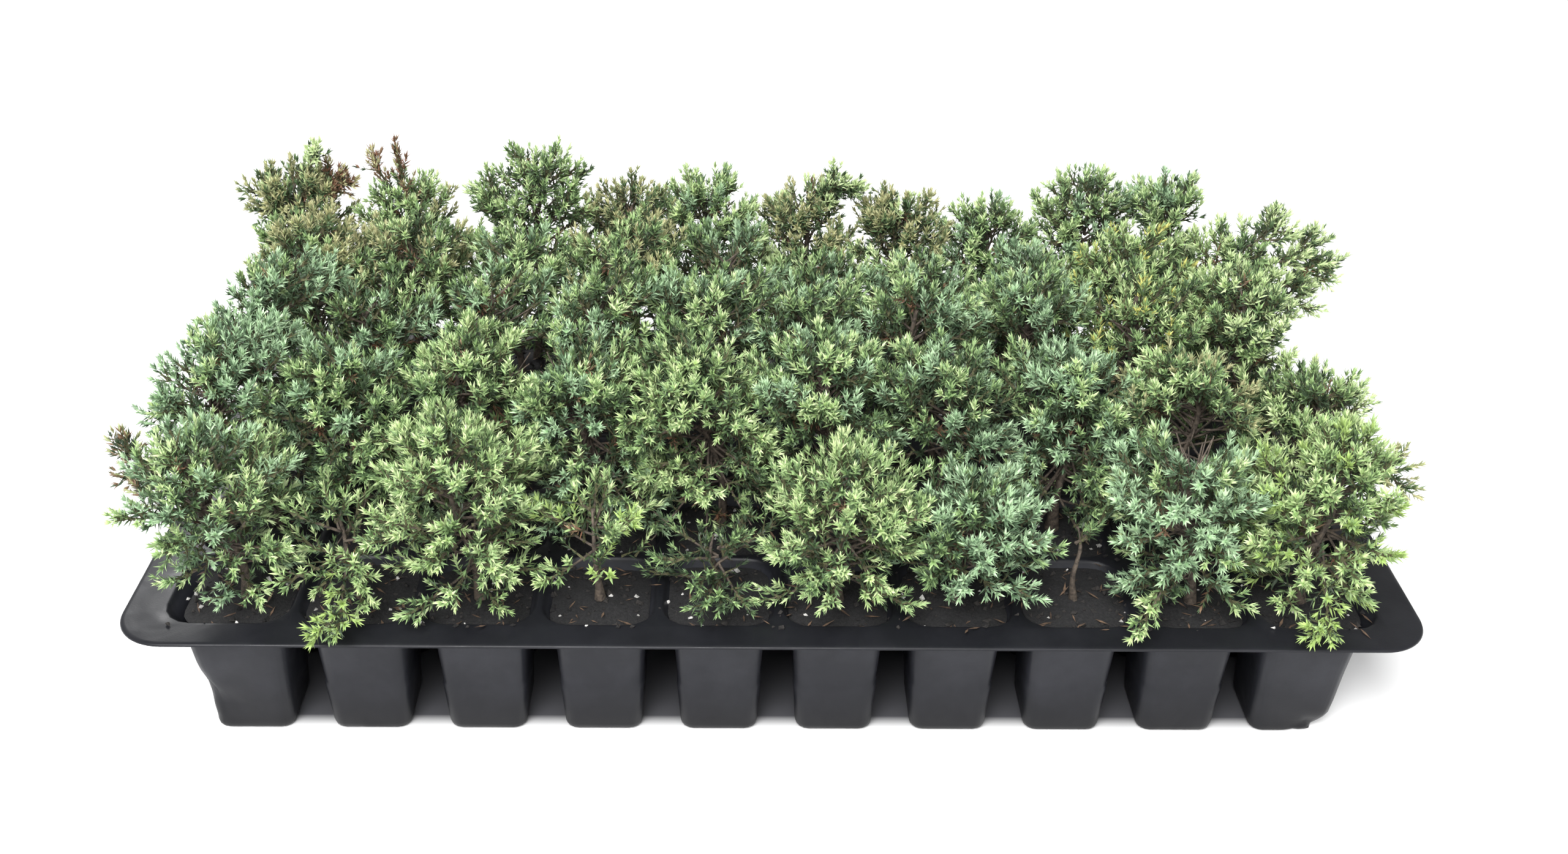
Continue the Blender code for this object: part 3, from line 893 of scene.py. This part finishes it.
def canopy_boughs(row, column):
    """Boughs from the leader to tips in a shaken grid under the mat's top."""
    draw = seeded(1700, row, column)
    height = HEIGHTS[row, column]
    level = MIX_TOP + 0.9 * height
    left, right, front, back = room_sides(row, column, level, BOUGH_MARGIN, BOUGH_ACROSS / 2)
    for i in range(CANOPY_TIPS * CANOPY_TIPS):
        x = left + (right - left) * (i % CANOPY_TIPS + draw.uniform(0.1, 0.9)) / CANOPY_TIPS
        y = front + (back - front) * (i // CANOPY_TIPS + draw.uniform(0.1, 0.9)) / CANOPY_TIPS
        tip = Vector((x, y, level))
        tip.z = mat_top(row, column, tip) - draw.uniform(*CANOPY_BELOW)
        middle = room_middle(row, column, tip.z)
        out = math.hypot(x - middle.x, y - middle.y)
        rise = tip.z - MIX_TOP - max(out, 8 * MM) * draw.uniform(*CANOPY_STEEP)
        start = leader_point(row, column, max(rise / height, CANOPY_LOWEST))
        if fits(row, column, tip, 0, BOUGH_ACROSS):
            yield start, (tip - start).normalized(), (tip - start).length


def sprig_boughs(draw, start, way, sides):
    """A sprig's own bough and a count of short ones on its sides."""
    length = way.length - SPRIG_MARGIN
    way = way.normalized()
    yield start, way, length
    side = way.cross(Vector((0, 0, 1))).normalized()
    for i, share in enumerate(SPRIG_SIDES[len(SPRIG_SIDES) - sides:]):
        turn = Matrix.Rotation(i * GOLDEN_ANGLE + draw.uniform(-0.3, 0.3), 3, way)
        off = math.cos(SPRIG_SIDE_ANGLE) * way + math.sin(SPRIG_SIDE_ANGLE) * (turn @ side)
        side_length = draw.uniform(*SPRIG_SIDE_LENGTH) * (1.2 - 0.5 * share)
        yield start + way * length * share, off.normalized(), side_length


def boughs(row, column):
    """Start, direction and length of each bough of a plant, with a palette where it is a named sprig."""
    draw = seeded(2200, row, column)
    leaning = leaning_starts(row, column) if (row, column) in LEANING else ()
    for start, way in (*spray_starts(row, column), *fill_starts(row, column), *leaning):
        length = longest_fit(row, column, start, way) * draw.uniform(*FILL_LENGTH)
        if length > BOUGH_SHORTEST:
            yield start, way, length, None
    if (row, column) not in SPARSE_PLANTS:
        for start, way, length in canopy_boughs(row, column):
            yield start, way, length, None
    for plant, share, (x, y, rise), palette, sides in SPRIGS:
        if plant == (row, column):
            start = leader_point(row, column, share)
            way = Vector((x * MM, y * MM, MIX_TOP + rise * MM)) - start
            for bough in sprig_boughs(draw, start, way, sides):
                yield *bough, palette


# Needle kinds of a shoot from its foot to its tip. The deep kind at the foot of the dark and bronze palettes
# is painted shade
PALETTES = {
    "blue": ("blue_dark", "blue", "blue_light"),
    "green": ("green_dark", "green", "green_light"),
    "fresh": ("fresh_dark", "fresh", "fresh_light"),
    "lime": ("fresh", "lime", "lime"),
    "gold": ("fresh_dark", "fresh", "gold"),
    "olive": ("green_dark", "olive", "tan"),
    "pale": ("green_dark", "green_light", "green_light"),
    "dark": ("deep", "green_dark", "green"),
    "bronze": ("deep", "bronze", "olive"),
    "brown": ("dead", "bronze", "tan"),
}

# Palettes by plant: the usual one, and the one that some of its boughs take
MIXED_GREEN = ("green", "blue")
PLANT_PALETTES = {
    ("blue", "green"): (
        (0, 8), (1, 0), (1, 6), (1, 7), (2, 0), (2, 6), (2, 7), (3, 4), (3, 6), (3, 7)
    ),
    ("blue", "dark"): ((0, 6),),
    ("fresh", "green"): ((0, 2), (1, 2), (0, 5), (1, 4)),
    ("fresh", "lime"): ((0, 1), (0, 9), (0, 3)),
    ("fresh", "gold"): ((3, 8), (2, 8)),
    ("green", "olive"): ((1, 8), (3, 3), (4, 1), (3, 1)),
    ("pale", "fresh"): ((3, 9), (2, 9), (1, 9)),
    ("olive", "pale"): ((4, 3), (4, 5), (4, 6)),
    ("olive", "green"): ((4, 0), (3, 0)),
    # Painted shade: these two small front plants stand in shade and take only the dark palette
    ("dark", "dark"): ((0, 4), (0, 7)),
    ("green", "dark"): ((4, 2),),
}
SECOND_SHARE, DARK_SHARE = 0.3, 0.26


def palette_pair(row, column):
    for pair, plants in PLANT_PALETTES.items():
        if (row, column) in plants:
            return pair
    return MIXED_GREEN


def bough_palette(row, column, roll):
    """The palette of one of a plant's boughs, by a roll of 0 to 1."""
    usual, second = palette_pair(row, column)
    if roll < SECOND_SHARE:
        return second
    inner = 0 < row < ROWS - 1 and column > 0
    return "dark" if inner and roll > 1 - DARK_SHARE else usual


def bare_at(point):
    """True in a hollow, or between it and the open air before the tray."""
    for (x, y, rise), radius in BARE_PLACES:
        centre = Vector((x * MM, y * MM, MIX_TOP + rise * MM))
        outward = (Vector(CAMERA_PLACE) - centre).normalized()
        off = Vector(point) - centre
        if (off - outward * max(off.dot(outward), 0)).length < radius * MM:
            return True
    return False


def shoot_fits(row, column, point, end, sprig):
    """True where a shoot stays with its plant and off the deck, and outside the bare places."""
    over_tray = abs(end[0]) < HALF_LENGTH and abs(end[1]) < HALF_WIDTH
    if over_tray and end[2] < DECK + SHOOT_OVER_DECK or bare_at(point) or bare_at(end):
        return False
    if sprig:
        return end[2] > DECK - SPRIG_UNDER_DECK
    if end[2] < MIX_TOP + BARE_FOOT.get((row, column), 0):
        return False
    if row == 1 and end[1] < border_y(1, end[2]) and end[2] < MIX_TOP + LEANING_LOWEST:
        return False
    return fits(row, column, Vector(end), -SHOOT_BEYOND, SHOOT_ACROSS)


def bough_point(start, way, length, share):
    """A point of a bough, which turns up a little towards its tip."""
    lift = BOUGH_CURVE * length * (1 - abs(way[2])) * share * (share - 0.6)
    return start + way * length * share + UP * lift


Shoot = namedtuple("Shoot", "base way reach kinds needle opening")


def shoot_kinds(palette, climb, roll):
    """Needle kinds of a shoot: dead needles, or the painted shade of the deep kind, near the bough's root
    inside the crown, and full colour near its tip.
    """
    inner, body, tip = palette
    if climb < 0.25 and roll < 0.14:
        return "dead", "bronze", inner
    # Painted shade: the deep kind darkens most shoots near the bough's root, and the feet of some others
    if climb < 0.50 and roll < 0.70:
        return "deep", "deep", inner
    if roll < 0.30:
        return "deep", inner, body
    return inner, body, tip


def fitting_reach(row, column, point, aim, reach, sprig):
    """A shoot's reach, cut short where only that fits, or 0 where nothing does."""
    for length in (reach, reach * SHOOT_CUT_SHORT):
        if shoot_fits(row, column, point, point + aim * length, sprig):
            return length
    return 0


def bough_shoots(rng, row, column, bough, palette, sprig):
    """The shoots of one bough, level near its root and more and more forward towards its tip."""
    start, way, length = bough
    across = unit(np.cross(way, UP + (0.001, 0.0, 0.0)))
    other = np.cross(way, across)
    count = max(SHOOTS_FEWEST, round(SHOOTS_PER_BOUGH * min(length / BOUGH_USUAL, 1.35)))
    count += SHOOTS_MORE_ON_SPRIG if sprig else 0
    phase = rng.uniform(0, 2 * np.pi)
    first = SHOOT_FIRST_SPARSE if sprig or (row, column) in SPARSE_PLANTS else SHOOT_FIRST
    shoots = []
    for i in range(count + 1):
        at_tip = i == count
        share = 1.0 if at_tip else first + (1 - first) * ((i + rng.uniform(0.1, 0.9)) / count) ** 0.8
        climb = (share - first) / (1 - first)
        polar = math.radians(between(*SHOOT_SPREAD, climb))
        polar = 0.0 if at_tip else polar + rng.normal(0, 0.14)
        around = phase + i * GOLDEN_ANGLE
        radial = math.cos(around) * across + math.sin(around) * other
        point = bough_point(start, way, length, share)
        aim = unit(math.cos(polar) * way + math.sin(polar) * radial + SHOOT_RISE * UP)
        reach = rng.uniform(*SHOOT_REACH) * (1.12 - 0.28 * climb) * (0.9 if sprig else 1)
        reach = fitting_reach(row, column, point, aim, reach, sprig)
        if reach:
            roll = rng.random()
            rosette = palette is PALETTES["lime"] or (row, column) in ROSETTE_PLANTS and roll > 0.4
            needle = rng.uniform(*(ROSETTE_LENGTH if rosette else NEEDLE_LENGTH)) * MM
            kinds = shoot_kinds(palette, climb, roll)
            opening = ROSETTE_OPENING if rosette else 1.0
            shoots.append(Shoot(point - aim * SHOOT_SUNK, aim, reach, kinds, needle, opening))
    return shoots


def grow():
    """Every bough of every plant that shows, and one row for each quality of all the shoots."""
    limbs, shoots = [], []
    for row, column in all_cells():
        rng = np.random.default_rng(7000 + row * COLUMNS + column)
        for start, way, length, named in boughs(row, column):
            bough = np.array(start), np.array(way), length
            palette = bough_palette(row, column, rng.random())
            grown = bough_shoots(rng, row, column, bough, PALETTES[named or palette], named is not None)
            shoots += grown
            if len(grown) > 2 or bare_at(start + way * length * 0.6):
                limbs.append(bough)
    return limbs, Shoot(*zip(*shoots))


def unit(vectors):
    return vectors / np.maximum(np.linalg.norm(vectors, axis=-1, keepdims=True), 1e-9)


def shoot_lift(way):
    """How shoots of these directions turn up along their length."""
    return unit(UP - way * way[..., 2:3] + 1e-6) * SHOOT_LIFT


def needle_places(rng, whorls):
    """For every needle its shoot, its share of the shoot's length, its turn, and if it is in a star."""
    whorl_shoot = np.repeat(np.arange(len(whorls)), whorls)
    order = np.arange(whorls.sum()) - np.repeat(np.cumsum(whorls) - whorls, whorls)
    shoot = np.repeat(whorl_shoot, 3)
    share = np.repeat(((order + 1.0) / whorls[whorl_shoot]) ** 0.85, 3)
    share = share + rng.uniform(-0.02, 0.02, len(shoot))
    around = np.tile(np.arange(3), len(order)) * 2 * np.pi / 3 + np.repeat(order, 3) * np.pi / 3
    around = around + rng.normal(0, 0.22, len(shoot))
    stars = np.repeat(np.arange(len(whorls)), STAR_NEEDLES)
    star_turn = np.tile(np.arange(STAR_NEEDLES), len(whorls)) * 2 * np.pi / STAR_NEEDLES
    around = np.concatenate((around, star_turn + rng.uniform(0, 0.6, len(stars))))
    shoot = np.concatenate((shoot, stars))
    share = np.concatenate((share, np.ones(len(stars))))
    in_star = np.arange(len(shoot)) >= len(shoot) - len(stars)
    return shoot, share, around, in_star


def needle_corners(rng, shoots, shoot, share, around, in_star):
    """Root, left edge, tip and right edge of every needle, a blade folded along its middle."""
    base, way = np.array(shoots.base)[shoot], np.array(shoots.way)[shoot]
    lift = shoot_lift(way)
    part = share[:, None]
    reach = np.array(shoots.reach)[shoot, None] * part
    centre = base + way * reach + lift * reach * part * 0.5
    along = unit(way + lift * part)
    across = unit(np.cross(along, np.array((0.31, 0.17, 0.93))))
    other = np.cross(along, across)
    radial = np.cos(around)[:, None] * across + np.sin(around)[:, None] * other
    angle = np.radians(between(*WHORL_OPEN, share)) + rng.normal(0, 0.11, len(shoot))
    star_angle = rng.uniform(*STAR_OPEN, len(shoot)) * np.array(shoots.opening)[shoot]
    angle = np.where(in_star, star_angle, angle)[:, None]
    aim = np.cos(angle) * along + np.sin(angle) * radial
    side = unit(np.cross(aim, along))
    inward = np.cross(side, aim)
    long = np.array(shoots.needle)[shoot] * rng.uniform(0.82, 1.15, len(shoot))
    long = (long * np.where(in_star, 0.95, 1.04 - 0.16 * share))[:, None]
    width = long * NEEDLE_WIDTH
    root = centre - aim * long * 0.06
    middle = root + aim * long * 0.40 + radial * long * 0.015 + inward * width * 0.55
    tip = root + aim * long + along * long * 0.10
    return np.stack((root, middle + side * width, tip, middle - side * width), axis=1)


def build_needles(shoots):
    """Needles in whorls of three along every shoot and a star at its tip, one piece for each kind."""
    rng = np.random.default_rng(31)
    names = sorted(NEEDLES)
    kinds = np.array([[names.index(kind) for kind in row] for row in shoots.kinds])
    # Shoots that are all in the deep kind of painted shade have their whorls further apart
    is_deep = (kinds[:, :2] == names.index("deep")).all(axis=1)
    spacing = np.where(is_deep, DEEP_SPACING, WHORL_SPACING)
    whorls = np.maximum(3, (np.array(shoots.reach) / spacing).astype(int))
    shoot, share, around, in_star = needle_places(rng, whorls)
    corners = needle_corners(rng, shoots, shoot, share, around, in_star)
    part = np.where(share < 0.40, 0, np.where(share < 0.78, 1, 2))
    one_down = rng.random(len(part)) < np.where(in_star, 0.42, 0.15)
    kind = kinds[shoot, np.where(one_down, np.maximum(part - 1, 0), part)]
    for number, name in enumerate(names):
        blades = corners[kind == number]
        faces = repeated(BLADE, len(blades))
        piece = mesh_object(f"needles_{name}", blades.reshape(-1, 3), faces, needle_material(name))
        finish_piece(piece, JUNIPERS)


def tubes(paths, radii, sides):
    """Vertices and faces of many tubes. Paths are (tubes, points, 3) and radii (tubes, points)."""
    count, points, _ = paths.shape
    along = unit(np.gradient(paths, axis=1))
    across = unit(np.cross(along, np.array((0.37, 0.21, 0.05))))
    other = np.cross(along, across)
    angles = np.arange(sides) * 2 * np.pi / sides
    ring = np.cos(angles)[:, None] * across[:, :, None] + np.sin(angles)[:, None] * other[:, :, None]
    verts = paths[:, :, None] + ring * radii[:, :, None, None]
    index = np.arange(count * points * sides).reshape(count, points, sides)
    low, high = index[:, :-1], index[:, 1:]
    faces = np.stack((low, np.roll(low, -1, axis=2), np.roll(high, -1, axis=2), high), axis=-1)
    return verts.reshape(-1, 3), faces.reshape(-1, 4)


def build_stems(bark):
    """The leaders, ridged and a little crooked, from a flared foot in the mix to their tips."""
    rng = np.random.default_rng(57)
    shares = np.linspace(0, 0.82, 16)
    paths, radii = [], []
    for row, column in all_cells():
        points = np.array([leader_point(row, column, share) for share in shares])
        points[0, 2] -= 2.2 * MM
        bend = rng.normal(0, 1.6, (2, 3)) * MM
        points += np.sin(shares * np.pi)[:, None] * bend[0] + np.sin(shares * 2.3 * np.pi)[:, None] * bend[1]
        taper = ((1.5 if (row, column) in SPARSE_PLANTS else 2.0) - 1.3 * shares) * MM
        taper[:3] *= (1.55, 1.2, 1.05)
        paths.append(points)
        radii.append(taper * rng.uniform(0.85, 1.1))
    verts, faces = tubes(np.array(paths), np.array(radii), 9)
    relief = np.array([noise.noise(Vector(v) * 620) + 0.5 * noise.noise(Vector(v) * 1500) for v in verts])
    verts[:, :2] += (relief * 0.35 * MM)[:, None] * unit(rng.normal(0, 1, (len(verts), 2)))
    stems = mesh_object("stems", verts, faces, bark, smooth=True)
    finish_piece(stems, STEMS + JUNIPERS)


def build_boughs(limbs, bark):
    """The bare wood of the boughs."""
    shares = np.linspace(0, 1, 4)
    paths = np.array([[bough_point(*limb, share) for share in shares] for limb in limbs])
    radii = (0.7 - 0.4 * shares)[None] * MM * np.ones((len(limbs), 1))
    finish_piece(mesh_object("boughs", *tubes(paths, radii, 4), bark, smooth=True), JUNIPERS)


def build_twigs(shoots, bark):
    """The stems of the shoots, each a thin three-sided spike."""
    base = np.array(shoots.base)[:, None]
    way = np.array(shoots.way)[:, None]
    length = np.array(shoots.reach)[:, None, None]
    shares = np.array((0, 1.0))[None, :, None]
    paths = base + way * length * shares + shoot_lift(way) * length * shares * shares * 0.5
    radii = np.array((0.75, 0.0))[None] * MM * np.ones((len(base), 1))
    # A tube's second ring has no width here, so one of its three vertices is enough
    verts = tubes(paths, radii, 3)[0].reshape(-1, 6, 3)[:, :4].reshape(-1, 3)
    finish_piece(mesh_object("twigs", verts, repeated(SPIKE, len(base)), bark), JUNIPERS)


def build_litter(material):
    """Dead needles that lie on the mix."""
    rng = np.random.default_rng(77)
    draw = random.Random(78)
    places = np.array(scattered_places(draw, LITTER, 0.5)) + UP * 0.5 * MM
    turn = rng.uniform(0, 2 * np.pi, LITTER)
    aim = unit(np.stack((np.cos(turn), np.sin(turn), rng.uniform(-0.15, 0.5, LITTER)), axis=1))
    side = unit(np.cross(aim, UP))
    length = rng.uniform(3.5, 7.5, LITTER)[:, None] * MM
    middle = places + aim * length * 0.4
    left, right = middle + side * length * 0.08, middle - side * length * 0.08
    verts = np.stack((places, left, places + aim * length, right), axis=1).reshape(-1, 3)
    litter = mesh_object("litter", verts, repeated(BLADE, LITTER), material)
    finish_piece(litter, ["potting_mix"])


# Studio


def build_studio():
    """Soft light from all round, three lamps and a pale floor with a shadow painted on it under the tray."""
    scene = bpy.context.scene
    scene.view_settings.view_transform = "Standard"
    world = bpy.data.worlds.new("studio")
    scene.world = world
    world.use_nodes = True
    background = world.node_tree.nodes["Background"]
    background.inputs["Color"].default_value = (1, 1, 1, 1)
    background.inputs["Strength"].default_value = WORLD_LIGHT
    corners = [(x * FLOOR_HALF, y * FLOOR_HALF, 0) for x, y in ((-1, -1), (1, -1), (1, 1), (-1, 1))]
    paper = Nodes("backdrop_paper")
    pale = paper.ramp(paper.noise(3, 2), ((0.3, 0.93), (0.7, 0.95)))
    # Painted shadow: the floor is near black under the tray, with a soft edge
    colour = paper.mix(paper.outside(*PAINTED_SHADOW_SIZE, 5 * MM), PAINTED_SHADOW_COLOUR, pale)
    paper.set(Base_Color=colour, Roughness=0.9)
    floor = mesh_object("floor", corners, [(0, 1, 2, 3)], paper.material)
    for light in LIGHTS:
        add_light(*light)


def add_light(name, place, size, power):
    data = bpy.data.lights.new(name, "AREA")
    data.shape = "DISK"
    data.size = size
    data.energy = power
    light = new_object(name, data)
    light.location = place
    aim = Vector(LIGHT_AIM) - light.location
    light.rotation_euler = aim.to_track_quat("-Z", "Y").to_euler()


def main():
    make_camera()
    build_tray(tray_material())
    build_mix(mix_material())
    build_crumbs("crumbs", *CRUMBS)
    build_crumbs("perlite", *PERLITE)
    build_litter(loose_material("dead_needles"))
    limbs, shoots = grow()
    bark = bark_material("bark")
    build_stems(bark)
    build_boughs(limbs, bark)
    build_twigs(shoots, bark_material("twig_bark"))
    build_needles(shoots)
    build_studio()


main()
